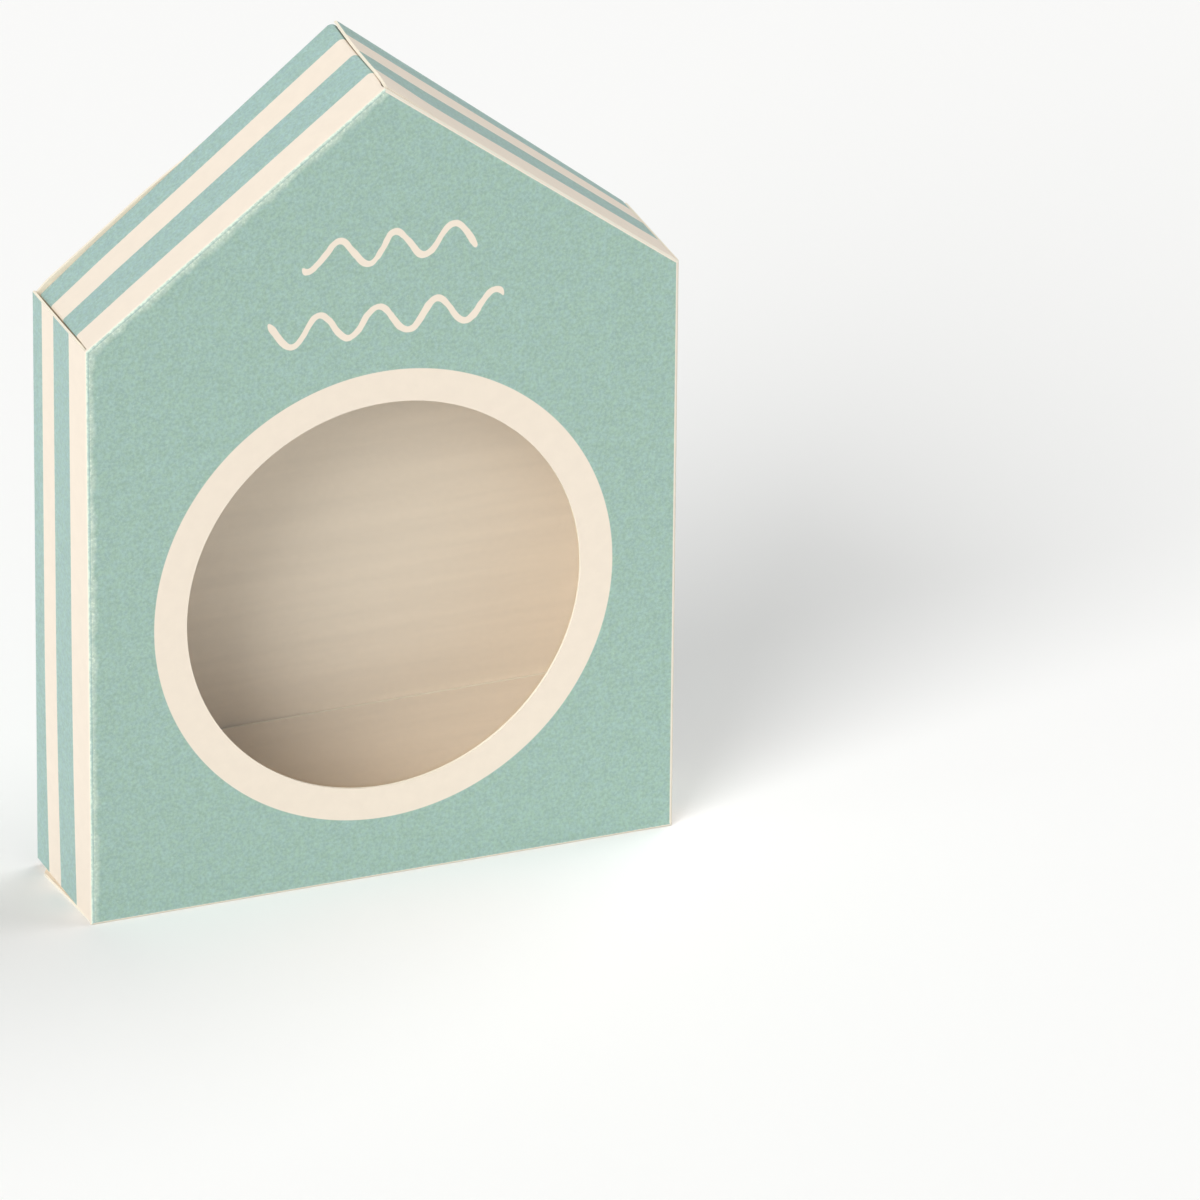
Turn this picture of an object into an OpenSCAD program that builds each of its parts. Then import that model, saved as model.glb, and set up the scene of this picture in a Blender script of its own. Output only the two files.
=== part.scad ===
// Toy gift carton in the shape of a beach hut: a folded paperboard body with a round film window,
// a gable front, and two roof panels that hinge on the creases of the gable and tuck in at the back.
// Millimetres. Origin at the centre of the underside, +Z up, the window faces -Y.

/* [Carton] */
// Width across the front
hut_w = 100; // [90:1:130]
// Depth from the front face to the back face
hut_d = 24; // [22:1:40]
// Height from the underside to the eaves
eave_h = 99.5; // [95:0.5:105]
// Height from the underside to the ridge
ridge_h = 136.5; // [130:0.5:138]
// Thickness of the paperboard
board_t = 0.5; // [0.35:0.05:0.7]

/* [Window] */
// Radius of the round window
window_r = 33.5; // [20:0.5:36]
// Height of the window's centre above the underside
window_z = 49.4; // [45:0.2:52]
// Thickness of the clear film
film_t = 0.2; // [0.1:0.05:0.3]
// Width of the film's glued border around the window
film_border = 4.5; // [3:0.5:6]

/* [Roof flaps] */
// Length of the flap that tucks in behind each roof panel
tuck_len = 10; // [6:0.5:10]
// Angle at which the tuck flap leans in from the back panel
tuck_lean = 15; // [15:1:20]
// Length of the lip that folds under at the ridge
ridge_lip_len = 6.5; // [3:0.5:7]
// Length of the lip that folds in behind each side wall
eave_lip_len = 5.5; // [3:0.5:7]

/* [Bottom and seam] */
// Length of the flap that tucks in behind the bottom panel
bottom_tuck_len = 17.5; // [8:0.5:24]
// Reach of each dust flap across the bottom
dust_len = 22; // [15:1:30]
// Width of the seam flap that is glued inside the right wall
seam_w = 11; // [8:1:15]

/* [Hidden] */
$fn = 96;
// Gap left at a crease between two panels, and around a flap that slides past its neighbour
crease_gap = 0.06;
slide_gap = 0.25;
// Step of the tapered flap ends and corners
taper = 3;
// Reach of the cutters past the board that they trim
over = 1;

half_w = hut_w / 2;
half_d = hut_d / 2;
roof_pitch = atan2(ridge_h - eave_h, half_w);
slope_len = norm([half_w, ridge_h - eave_h]);
// Outline of the gable in X and Z, from the lower left corner round by the right wall
gable = [
    [-half_w, 0],
    [half_w, 0],
    [half_w, eave_h],
    [0, ridge_h],
    [-half_w, eave_h],
];
// Depth from the front face at which the roof panels end, and the circle that their flaps stay inside
roof_depth = hut_d - board_t - slide_gap;
// Distance from the ridge and from the eaves at which the roof boards are cut
ridge_cut = board_t + slide_gap;
eave_cut = board_t + slide_gap;
// Distance from the ridge at which the two tuck flaps end, so that they pass each other
tuck_ridge_cut = tuck_len * tan(roof_pitch) + 2;
// Distance from the eaves at which the tuck flaps begin
tuck_eave_cut = 3;

print_green = "#a3c5ba";
bare_cream = "#f3e6d2";
inside_cream = "#ead9c0";
clear_film = "#dfe6e4";

// Frame of the left roof: X up the slope from the eave, Y to the back, Z outward
module on_left_slope() {
    translate([-half_w, -half_d, eave_h]) rotate([0, -roof_pitch, 0]) children();
}

// Frame of the right roof: X down the slope from the ridge, Y to the back, Z outward
module on_right_slope() {
    translate([0, -half_d, ridge_h]) rotate([0, roof_pitch, 0]) children();
}

// A profile drawn in Y and Z, extruded along X from x0 to x1
module run_along_x(x0, x1) {
    translate([x0, 0, 0]) rotate([90, 0, 90]) linear_extrude(x1 - x0) children();
}

// A gable outline stood up with its outer face at y0 and its thickness towards +Y
module upright(y0, thick) {
    translate([0, y0 + thick, 0]) rotate([90, 0, 0]) linear_extrude(thick) children();
}

// Cutter that mitres one edge of the front panel, so that the board next to it can fold
module edge_mitre(from, to) {
    run = to - from;
    translate([from[0], -half_d, from[1]])
        rotate([0, -atan2(run[1], run[0]), 0])
            rotate([45, 0, 0])
                translate([-over, -over, -2 * over])
                    cube([norm(run) + 2 * over, 3 * over, 2 * over]);
}

// Gable front with the round window, mitred on all five creases
module front_panel() {
    color(print_green) difference() {
        upright(-half_d, board_t) polygon(gable);
        for (i = [0:len(gable) - 1]) edge_mitre(gable[i], gable[(i + 1) % len(gable)]);
        translate([0, -half_d - over, window_z])
            rotate([-90, 0, 0]) cylinder(r = window_r, h = board_t + 2 * over);
    }
}

// Gable back, cut square all round
module back_panel() {
    color(bare_cream) upright(half_d - board_t, board_t) polygon(gable);
}

// Side wall between the front crease and the back panel, standing on the bottom panel
module side_wall(side) {
    color(print_green) translate([0, 0, board_t + crease_gap])
        linear_extrude(eave_h - board_t - crease_gap)
            polygon([
                [side * half_w, -half_d + crease_gap],
                [side * half_w, half_d - board_t],
                [side * (half_w - board_t), half_d - board_t],
                [side * (half_w - board_t), -half_d + board_t + crease_gap],
            ]);
}

module left_wall() side_wall(-1);

module right_wall() side_wall(1);

// Flap folded forward from the back panel and glued inside the right wall
module seam_flap() {
    y1 = half_d - board_t;
    color(bare_cream) translate([half_w - 2 * board_t, 0, 0])
        rotate([90, 0, 90]) linear_extrude(board_t)
            polygon([
                [y1, taper],
                [y1, eave_h - 2 * taper],
                [y1 - seam_w, eave_h - 4 * taper],
                [y1 - seam_w, 3 * taper],
            ]);
}

// Clear film glued behind the window
module window_film() {
    reach = window_r + film_border;
    color(clear_film, 0.3)
        upright(-half_d + board_t + crease_gap, film_t)
            translate([0, window_z])
                intersection() {
                    square(2 * reach, center = true);
                    rotate(45) square(sqrt(2) * (2 * reach - taper), center = true);
                }
}

// Bottom panel, folded back from the front panel
module bottom_panel() {
    color(inside_cream) translate([0, -half_d, 0])
        run_along_x(-half_w + board_t / 2, half_w - board_t / 2)
            polygon([
                [crease_gap, 0],
                [roof_depth, 0],
                [roof_depth, board_t],
                [board_t + crease_gap, board_t],
            ]);
}

// Flap of the bottom panel that stands inside the back panel
module bottom_tuck_flap() {
    x1 = half_w - 2 * board_t - slide_gap;
    color(inside_cream) upright(half_d - 2 * board_t - slide_gap, board_t)
        polygon([
            [-x1, board_t],
            [x1, board_t],
            [x1 - taper, board_t + bottom_tuck_len],
            [-x1 + taper, board_t + bottom_tuck_len],
        ]);
}

// Dust flap folded in from the foot of a side wall, on top of the bottom panel
module dust_flap(side) {
    x0 = half_w - board_t - crease_gap;
    x1 = x0 - dust_len;
    y0 = -half_d + board_t + film_t + slide_gap;
    y1 = half_d - 2 * board_t - 2 * slide_gap;
    color(inside_cream) translate([0, 0, board_t + crease_gap]) linear_extrude(board_t)
        polygon([
            [side * x0, y0],
            [side * x0, y1],
            [side * (x1 + taper), y1 - taper],
            [side * x1, y1 - 2 * taper],
            [side * x1, y0 + 2 * taper],
            [side * (x1 + taper), y0 + taper],
        ]);
}

module dust_flap_left() dust_flap(-1);

module dust_flap_right() dust_flap(1);

// Flat roof board from x0 to x1 along its slope, mitred on the front crease
module roof_board(x0, x1) {
    color(print_green) run_along_x(x0, x1)
        polygon([
            [crease_gap, 0],
            [roof_depth, 0],
            [roof_depth, -board_t],
            [board_t + crease_gap, -board_t],
        ]);
}

// Lip that hangs square under a roof board, with its back corner cut to swing clear of the back panel
module roof_lip(x0, reach) {
    low = board_t + reach;
    swing = sqrt(pow(roof_depth, 2) - pow(low, 2));
    color(bare_cream) run_along_x(x0, x0 + board_t)
        polygon([
            [2 * board_t, -board_t],
            [swing, -board_t],
            [swing - taper, -low],
            [2 * board_t + taper, -low],
        ]);
}

// Flap that hangs from the back edge of a roof board and leans in from the back panel
module roof_tuck(x0, x1) {
    color(bare_cream)
        translate([0, roof_depth, -board_t * (1 + tan(tuck_lean))])
            rotate([-90 - tuck_lean, 0, 0])
                translate([0, 0, -board_t]) linear_extrude(board_t)
                    polygon([
                        [x0, 0],
                        [x1, 0],
                        [x1 - taper, tuck_len - board_t],
                        [x0 + taper, tuck_len - board_t],
                    ]);
}

module roof_panel_left() on_left_slope() roof_board(eave_cut, slope_len - ridge_cut);

module ridge_lip() on_left_slope() roof_lip(slope_len - ridge_cut - board_t, ridge_lip_len);

module eave_lip_left() on_left_slope() roof_lip(eave_cut, eave_lip_len);

module roof_tuck_left() on_left_slope() roof_tuck(tuck_eave_cut, slope_len - tuck_ridge_cut);

module roof_panel_right() on_right_slope() roof_board(0, slope_len - eave_cut);

module eave_lip_right() on_right_slope() roof_lip(slope_len - eave_cut - board_t, eave_lip_len);

module roof_tuck_right() on_right_slope() roof_tuck(tuck_ridge_cut, slope_len - tuck_eave_cut);

front_panel();
back_panel();
left_wall();
right_wall();
seam_flap();
window_film();
bottom_panel();
bottom_tuck_flap();
dust_flap_left();
dust_flap_right();
roof_panel_left();
ridge_lip();
eave_lip_left();
roof_tuck_left();
roof_panel_right();
eave_lip_right();
roof_tuck_right();
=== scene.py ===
"""Looks of a beach hut toy carton: folded printed board, a clear film window and a plain stage.

Every length is in metres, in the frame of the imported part: +Z up, the window faces -Y.
"""
import math

import bpy
import numpy as np
from bpy.props import FloatProperty, FloatVectorProperty, PointerProperty
from mathutils import Matrix, Vector


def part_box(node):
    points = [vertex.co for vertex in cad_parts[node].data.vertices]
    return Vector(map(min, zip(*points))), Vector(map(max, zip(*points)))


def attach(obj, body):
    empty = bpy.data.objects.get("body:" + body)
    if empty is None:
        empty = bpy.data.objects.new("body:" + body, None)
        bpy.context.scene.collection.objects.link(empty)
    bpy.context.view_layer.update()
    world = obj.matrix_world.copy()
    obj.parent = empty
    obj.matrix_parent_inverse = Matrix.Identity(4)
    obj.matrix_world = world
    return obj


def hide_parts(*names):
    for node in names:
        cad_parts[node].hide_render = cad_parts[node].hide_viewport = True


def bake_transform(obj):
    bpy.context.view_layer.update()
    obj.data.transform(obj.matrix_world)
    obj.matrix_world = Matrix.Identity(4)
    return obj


bl_info = {
    "name": "Beach Hut Carton",
    "version": (1, 0, 0),
    "blender": (4, 5, 0),
    "location": "View3D > Sidebar > Carton",
    "description": "Builds the board, folds, film window and stage of a beach hut toy carton",
    "category": "Add Mesh",
}

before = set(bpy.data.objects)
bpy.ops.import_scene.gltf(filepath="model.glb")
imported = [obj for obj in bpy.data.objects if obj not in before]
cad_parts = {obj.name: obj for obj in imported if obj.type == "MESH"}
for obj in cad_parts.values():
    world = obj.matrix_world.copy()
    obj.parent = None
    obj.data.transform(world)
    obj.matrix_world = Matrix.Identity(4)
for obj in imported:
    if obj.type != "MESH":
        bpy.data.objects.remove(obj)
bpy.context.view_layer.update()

MM = 0.001
SHEET_MAP = "sheet"

# Sizes of the carton, read from the frame.
front_low, front_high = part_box("front_panel")
film_low, film_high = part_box("window_film")
HALF_W = front_high.x
HALF_D = -front_low.y
DEPTH = 2 * HALF_D
BOARD_T = front_high.y - front_low.y
RIDGE_Z = front_high.z
EAVE_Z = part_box("left_wall")[1].z
PITCH = math.atan2(RIDGE_Z - EAVE_Z, HALF_W)
SLOPE = math.hypot(RIDGE_Z - EAVE_Z, HALF_W)
FILM_Y = film_low.y
WINDOW_Z = (film_low.z + film_high.z) / 2
WINDOW_R = min(
    math.hypot(v.co.x, v.co.z - WINDOW_Z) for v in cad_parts["front_panel"].data.vertices
)
UP_SLOPE = np.array([math.cos(PITCH), 0.0, math.sin(PITCH)])
DOWN_SLOPE = np.array([math.cos(PITCH), 0.0, -math.sin(PITCH)])
LEFT_OUT = np.array([-math.sin(PITCH), 0.0, math.cos(PITCH)])
RIGHT_OUT = np.array([math.sin(PITCH), 0.0, math.cos(PITCH)])
BACKWARD = np.array([0.0, 1.0, 0.0])
LEFT_EAVE = np.array([-HALF_W, -HALF_D, EAVE_Z])
RIDGE = np.array([0.0, -HALF_D, RIDGE_Z])

# The gable's corners in X and Z, from the lower left corner round by the right wall.
GABLE = np.array([
    [-HALF_W, 0.0],
    [HALF_W, 0.0],
    [HALF_W, EAVE_Z],
    [0.0, RIDGE_Z],
    [-HALF_W, EAVE_Z],
])
# The folds of the front panel, in the order of the gable's edges.
BOTTOM_EDGE, RIGHT_EDGE, RIGHT_SLOPE, LEFT_SLOPE, LEFT_EDGE = range(5)


# ---------------------------------------------------------------- settings


class CartonSizes(bpy.types.PropertyGroup):
    """Sizes of the folds, gaps and print that the frame doesn't hold"""

    fold_radius: FloatProperty(
        name="Fold radius", description="Outer radius of a creased fold in the board",
        default=0.42 * MM, unit="LENGTH",
    )
    fold_land: FloatProperty(
        name="Fold land", description="Flat strip on each side of a fold",
        default=0.12 * MM, unit="LENGTH",
    )
    ridge_roll: FloatProperty(
        name="Ridge roll", description="Radius at which the left roof rolls under at the ridge",
        default=1.2 * MM, unit="LENGTH",
    )
    eave_roll: FloatProperty(
        name="Eave roll", description="Radius at which a roof rolls in behind its side wall",
        default=0.45 * MM, unit="LENGTH",
    )
    back_roll: FloatProperty(
        name="Back roll", description="Radius at which a roof rolls into its tuck flap",
        default=0.55 * MM, unit="LENGTH",
    )
    left_lift: FloatProperty(
        name="Left roof lift", description="Rise of the left roof at the back of the ridge",
        default=1.05 * MM, unit="LENGTH",
    )
    right_lift: FloatProperty(
        name="Right roof lift", description="Rise of the right roof at the back of the ridge",
        default=2.2 * MM, unit="LENGTH",
    )
    right_bump: FloatProperty(
        name="Right roof bump",
        description="Rise of the right roof just behind its front ridge corner",
        default=1.0 * MM, unit="LENGTH",
    )
    right_short: FloatProperty(
        name="Right roof cut",
        description="How far the right roof's edge stops short of the front ridge corner",
        default=0.4 * MM, unit="LENGTH",
    )
    back_stand: FloatProperty(
        name="Back panel stand", description="Height of the back panel's edge above the left roof",
        default=0.42 * MM, unit="LENGTH",
    )
    ring_width: FloatProperty(
        name="Ring width", description="Width of the unprinted ring round the window",
        default=5.5 * MM, unit="LENGTH",
    )
    stroke_width: FloatProperty(
        name="Wave stroke", description="Width of the waves drawn on the gable",
        default=1.05 * MM, unit="LENGTH",
    )


class CartonColours(bpy.types.PropertyGroup):
    """Ink, board and film colours, as sRGB"""

    ink: FloatVectorProperty(
        name="Sea green ink", description="Offset ink on the outside of the board",
        default=(0.620, 0.737, 0.690), size=3, subtype="COLOR_GAMMA", min=0, max=1,
    )
    # Painted light: a slightly bluer copy of the sea green ink, standing in for the cooler look the
    # light gives the striped sides.
    side_ink_painted_cool: FloatVectorProperty(
        name="Striped sides' ink, painted cooler", description="The ink where it is printed in stripes, tinted bluer as painted light",
        default=(0.622, 0.740, 0.712), size=3, subtype="COLOR_GAMMA", min=0, max=1,
    )
    liner: FloatVectorProperty(
        name="Cream liner", description="Unprinted outside of the board",
        default=(0.945, 0.894, 0.827), size=3, subtype="COLOR_GAMMA", min=0, max=1,
    )
    inside: FloatVectorProperty(
        name="Inside of the board", description="Uncoated back of the board",
        default=(0.988, 0.930, 0.845), size=3, subtype="COLOR_GAMMA", min=0, max=1,
    )
    core: FloatVectorProperty(
        name="Cut edge", description="Fibres that show where the board was cut",
        default=(0.961, 0.925, 0.847), size=3, subtype="COLOR_GAMMA", min=0, max=1,
    )
    scuff: FloatVectorProperty(
        name="Worn fold", description="Pale fibres where ink has cracked off a fold",
        default=(0.871, 0.922, 0.855), size=3, subtype="COLOR_GAMMA", min=0, max=1,
    )


def sizes():
    return bpy.context.scene.carton_sizes


def colours():
    return bpy.context.scene.carton_colours


# ---------------------------------------------------------------- shapes


def ease(x):
    """Smooth step from 0 to 1."""
    x = np.clip(x, 0.0, 1.0)
    return x * x * (3 - 2 * x)


# Where hand folding leaves the back of the carton, against the front.
RIGHT_WALL_OUT = 0.9 * MM
LEFT_FOOT_OUT = 0.55 * MM
LEFT_EAVE_OUT = 0.2 * MM
RIDGE_TO_LEFT = 0.95 * MM
RIGHT_WALL_BACK = 0.6 * MM
RIGHT_EAVE_UP = 0.3 * MM
RIDGE_UP = 0.65 * MM


def settle(p):
    """Moves ideal points to where hand folding leaves them, with the back a little askew."""
    p = np.asarray(p, float)
    back = (p[..., 1] + HALF_D) / DEPTH
    right = (1 + p[..., 0] / HALF_W) / 2
    left = 1 - right
    height = np.clip(p[..., 2] / EAVE_Z, 0, 1)
    gable = np.clip((p[..., 2] - EAVE_Z) / (RIDGE_Z - EAVE_Z), 0, 1.1)
    to_left = LEFT_FOOT_OUT * left * (1 - height) + LEFT_EAVE_OUT * left * height * (1 - gable)
    to_left += RIDGE_TO_LEFT * gable
    out = p.copy()
    out[..., 0] += back * (RIGHT_WALL_OUT * right - to_left)
    out[..., 1] += back * RIGHT_WALL_BACK * right
    out[..., 2] += back * (RIGHT_EAVE_UP * right * height + RIDGE_UP * gable)
    return out


def grid_normals(p):
    """Unit normals of a grid of points, along the cross product of its two directions."""
    du = np.gradient(p, axis=0)
    dv = np.gradient(p, axis=1)
    n = np.cross(du, dv)
    return n / np.maximum(np.linalg.norm(n, axis=2, keepdims=True), 1e-12)


def ring_normals(p):
    """The same for a grid whose first direction closes on itself."""
    wrapped = np.concatenate([p[-1:], p, p[:1]])
    return grid_normals(wrapped)[1:-1]


def board(name, outer, sheet, materials, thickness=None, closed=False):
    """A board: an outer face of grid points, an inner face a thickness below, and its cut edges.

    sheet holds the flat sheet's coordinates in millimetres. materials are the outer face's, the
    inner face's and the cut edges'. closed joins the last row of points to the first.
    """
    thickness = BOARD_T if thickness is None else thickness
    nu, nv = outer.shape[:2]
    normals = ring_normals(outer) if closed else grid_normals(outer)
    inner = outer - normals * thickness
    points = np.concatenate([outer.reshape(-1, 3), inner.reshape(-1, 3)])
    below = nu * nv
    faces, slots = [], []
    rows = nu if closed else nu - 1

    def at(i, j):
        return (i % nu) * nv + j

    for i in range(rows):
        for j in range(nv - 1):
            quad = [at(i, j), at(i + 1, j), at(i + 1, j + 1), at(i, j + 1)]
            faces += [quad, [below + q for q in reversed(quad)]]
            slots += [0, 1]
    rim = [(at(i + 1, 0), at(i, 0)) for i in range(rows)]
    rim += [(at(i, nv - 1), at(i + 1, nv - 1)) for i in range(rows)]
    if not closed:
        rim += [(at(0, j), at(0, j + 1)) for j in range(nv - 1)]
        rim += [(at(nu - 1, j + 1), at(nu - 1, j)) for j in range(nv - 1)]
    for a, b in rim:
        faces.append([a, b, below + b, below + a])
        slots.append(2)
    mesh = bpy.data.meshes.new(name)
    mesh.from_pydata(points.tolist(), [], faces)
    mesh.polygons.foreach_set("material_index", slots)
    mesh.polygons.foreach_set("use_smooth", [True] * len(faces))
    mesh.set_sharp_from_angle(angle=math.radians(50))
    flat = np.tile(sheet.reshape(-1, 2), (2, 1))
    loops = np.zeros(len(mesh.loops), np.int32)
    mesh.loops.foreach_get("vertex_index", loops)
    layer = mesh.uv_layers.new(name=SHEET_MAP)
    layer.uv.foreach_set("vector", flat[loops].astype(np.float32).ravel())
    for m in materials:
        mesh.materials.append(m)
    mesh.update()
    piece = bpy.data.objects.new(name, mesh)
    bpy.context.scene.collection.objects.link(piece)
    return piece


def stack(*parts):
    """A grid of points or sheet coordinates from arrays that broadcast to one shape."""
    return np.stack(np.broadcast_arrays(*parts), axis=-1).astype(float)


def place(origin, u_dir, v_dir, n_dir, u, v, n):
    """World points of local coordinates along three directions from an origin."""
    u, v, n = np.broadcast_arrays(u, v, n)
    return (
        np.asarray(origin)
        + u[..., None] * np.asarray(u_dir)
        + v[..., None] * np.asarray(v_dir)
        + n[..., None] * np.asarray(n_dir)
    )


def on_slope(side, s, y, n):
    """World points of distances along a roof's slope from its left end, back and outward."""
    if side < 0:
        return place(LEFT_EAVE, UP_SLOPE, BACKWARD, LEFT_OUT, s, y, n)
    return place(RIDGE, DOWN_SLOPE, BACKWARD, RIGHT_OUT, s, y, n)


def rounded_flap(reach, low, high, corner, rows=14, columns=24):
    """Grid coordinates of a flap from its fold at 0 to its reach, with rounded outer corners.

    low and high are its two ends along the fold, as functions of the distance from the fold.
    """
    straight = np.linspace(0, reach - corner, max(2, rows // 2))
    turn = reach - corner + corner * np.sin(np.linspace(0, math.pi / 2, rows // 2 + 1)[1:])
    out = np.concatenate([straight, turn])
    bite = corner - np.sqrt(np.maximum(corner**2 - np.maximum(out - (reach - corner), 0) ** 2, 0))
    a = low(out) + bite
    b = high(out) - bite
    share = np.linspace(0, 1, columns)
    along = a[None, :] + (b - a)[None, :] * share[:, None]
    return along, np.broadcast_to(out[None, :], along.shape)


def corner_inset(i, inset):
    """Corner i of the gable, moved in so that both its edges are inset by that much."""
    before = GABLE[i] - GABLE[i - 1]
    after = GABLE[(i + 1) % 5] - GABLE[i]
    n1 = np.array([-before[1], before[0]]) / np.linalg.norm(before)
    n2 = np.array([-after[1], after[0]]) / np.linalg.norm(after)
    return GABLE[i] + (n1 + n2) / (1 + n1 @ n2) * inset


# ---------------------------------------------------------------- materials


def linear(srgb):
    """Linear colour with alpha from sRGB values."""
    return tuple(c / 12.92 if c <= 0.04045 else ((c + 0.055) / 1.055) ** 2.4 for c in srgb) + (1.0,)


def add(nt, kind, settings=None, **inputs):
    """Adds a shader node. settings are its properties. An input, called by its name or by i and
    its number, is a value or a socket to link."""
    node = nt.nodes.new("ShaderNode" + kind)
    for key, value in (settings or {}).items():
        setattr(node, key, value)
    for key, value in inputs.items():
        name = int(key[1:]) if key[1:].isdigit() else key.replace("_", " ")
        socket = node.inputs[name]
        if isinstance(value, bpy.types.NodeSocket):
            nt.links.new(value, socket)
        else:
            socket.default_value = value
    return node


def calc(nt, operation, a, b=0.0, c=0.0):
    return add(nt, "Math", {"operation": operation}, i0=a, i1=b, i2=c).outputs[0]


def length(nt, a, b):
    """Length of a line with those two legs."""
    return calc(nt, "SQRT", calc(nt, "MULTIPLY_ADD", a, a, calc(nt, "MULTIPLY", b, b)))


def remap(nt, value, low, high, to_low=0.0, to_high=1.0):
    """Smooth step of a value from a range to another range."""
    return add(
        nt, "MapRange", {"interpolation_type": "SMOOTHSTEP"},
        Value=value, From_Min=low, From_Max=high, To_Min=to_low, To_Max=to_high,
    ).outputs[0]


def mix(nt, factor, a, b, blend="MIX"):
    """Mixes two colours: inputs 6 and 7 of a mix node, and its output 2."""
    return add(
        nt, "Mix", {"data_type": "RGBA", "blend_type": blend}, i0=factor, i6=a, i7=b
    ).outputs[2]


def grain(nt, where, size, detail=3.0, roughness=0.55, stretch=(1, 1, 1)):
    """Noise from 0 to 1 with features of that size, in object space."""
    scaled = add(nt, "VectorMath", {"operation": "MULTIPLY"}, i0=where, i1=stretch).outputs[0]
    return add(
        nt, "TexNoise", Vector=scaled, Scale=1 / size, Detail=detail, Roughness=roughness
    ).outputs[0]


def new_material(name):
    m = bpy.data.materials.new(name)
    m.use_nodes = True
    m.node_tree.nodes.clear()
    return m, m.node_tree


def finish_board(nt, colour, where, roughness=0.78, relief=0.25):
    """Uncoated paperboard: matt, with a fine felt of fibres about 0.2 mm across. The defaults are
    for printed board, whose ink is a little less matt."""
    fibres = grain(nt, where, 0.22 * MM, detail=4, roughness=0.7)
    bump = add(nt, "Bump", Strength=relief, Distance=0.03 * MM, Height=fibres)
    shader = add(
        nt, "BsdfPrincipled", Base_Color=colour, Roughness=roughness, Normal=bump.outputs[0],
    )
    shader.inputs["IOR"].default_value = 1.45
    shader.inputs["Specular IOR Level"].default_value = 0.32
    shader.inputs["Sheen Weight"].default_value = 0.15
    shader.inputs["Sheen Roughness"].default_value = 0.6
    add(nt, "OutputMaterial", Surface=shader.outputs[0])


def ink_and_liner(nt, where, ink, uncovered, worn):
    """Colour of the printed side: flat ink on cream liner, mottled as uncoated stock takes it."""
    c = colours()
    cloud = grain(nt, where, 2.4 * MM, detail=3, roughness=0.6)
    mottle = grain(nt, where, 0.55 * MM, detail=4, roughness=0.75)
    tint = grain(nt, where, 0.9 * MM, detail=3, roughness=0.6, stretch=(1, 1, -1))
    speck = grain(nt, where, 0.28 * MM, detail=2, roughness=0.5)
    fine = remap(nt, mottle, 0.3, 0.7, -0.12, 0.12)
    depth = calc(nt, "ADD", fine, remap(nt, cloud, 0.3, 0.7, -0.025, 0.025))
    hue = remap(nt, tint, 0.3, 0.7, 0.475, 0.525)
    ink = add(nt, "HueSaturation", Color=linear(ink), Hue=hue, Value=calc(nt, "ADD", depth, 1.0))
    thin = remap(nt, speck, 0.62, 0.78, 0.0, 0.3)
    ink = mix(nt, thin, ink.outputs[0], linear(c.scuff))
    shade = calc(nt, "ADD", remap(nt, cloud, 0.3, 0.7, -0.012, 0.012), 1.0)
    liner = add(nt, "HueSaturation", Color=linear(c.liner), Value=shade).outputs[0]
    colour = mix(nt, uncovered, ink, liner)
    return mix(nt, worn, colour, linear(c.scuff))


def fold_wear(nt, where, distance, strength, spread):
    """Wear beside a fold: a pale halo, and ragged flakes where the ink has cracked off."""
    ragged = grain(nt, where, 0.55 * MM, detail=4, roughness=0.7)
    patch = grain(nt, where, 4 * MM, detail=2, roughness=0.6)
    away = calc(nt, "ABSOLUTE", distance)
    reach = remap(nt, patch, 0.35, 0.65, 0.8 * spread, 1.3 * spread)
    near = calc(nt, "MAXIMUM", calc(nt, "SUBTRACT", 1.0, calc(nt, "DIVIDE", away, reach)), 0.0)
    flakes = remap(nt, calc(nt, "MULTIPLY_ADD", near, 0.34, ragged), 0.7, 0.84)
    soft = calc(nt, "MINIMUM", calc(nt, "MULTIPLY", near, 1.5), 1.0)
    halo = calc(nt, "MULTIPLY", soft, remap(nt, ragged, 0.3, 0.7, 0.35, 0.75))
    return calc(nt, "MULTIPLY", calc(nt, "MAXIMUM", flakes, halo), strength)


def sheet_coordinates(nt):
    where = add(nt, "TexCoord").outputs["Object"]
    flat = add(nt, "SeparateXYZ", Vector=add(nt, "UVMap", {"uv_map": SHEET_MAP}).outputs[0])
    return where, flat.outputs[0], flat.outputs[1]


def striped_board(name, stripes, wear, spread, wrap):
    """Offset-printed folding boxboard with stripes along its fold. The first sheet coordinate is
    the distance from the fold in millimetres. Cream and ink change at the distances in stripes, and
    the first cream stripe starts at wrap."""
    m, nt = new_material(name)
    where, across = sheet_coordinates(nt)[:2]
    wobble = calc(nt, "MULTIPLY", calc(nt, "SUBTRACT", grain(nt, where, 0.5 * MM), 0.5), 0.12)
    edge = calc(nt, "ADD", across, wobble)
    uncovered = 0.0
    for start, end in [(wrap, stripes[0]), (stripes[1], stripes[2])]:
        inside = calc(
            nt, "MULTIPLY",
            remap(nt, edge, start - STRIPE_EDGE, start + STRIPE_EDGE),
            remap(nt, edge, end - STRIPE_EDGE, end + STRIPE_EDGE, 1.0, 0.0),
        )
        uncovered = inside if uncovered == 0.0 else calc(nt, "ADD", uncovered, inside)
    # Wear hardly shows on the bare liner, so it ends three times as soon on the striped side.
    front, side = calc(nt, "MULTIPLY", across, -1.0), calc(nt, "MULTIPLY", across, 3.0)
    worn = fold_wear(nt, where, calc(nt, "MAXIMUM", front, side), wear, spread)
    # The striped sides take the bluer copy of the ink, painted light for their cooler look.
    finish_board(nt, ink_and_liner(nt, where, colours().side_ink_painted_cool, uncovered, worn), where)
    return m


def plain_print(name):
    """Offset-printed boxboard with an even layer of ink."""
    m, nt = new_material(name)
    where = sheet_coordinates(nt)[0]
    finish_board(nt, ink_and_liner(nt, where, colours().ink, 0.0, 0.0), where)
    return m


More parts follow.
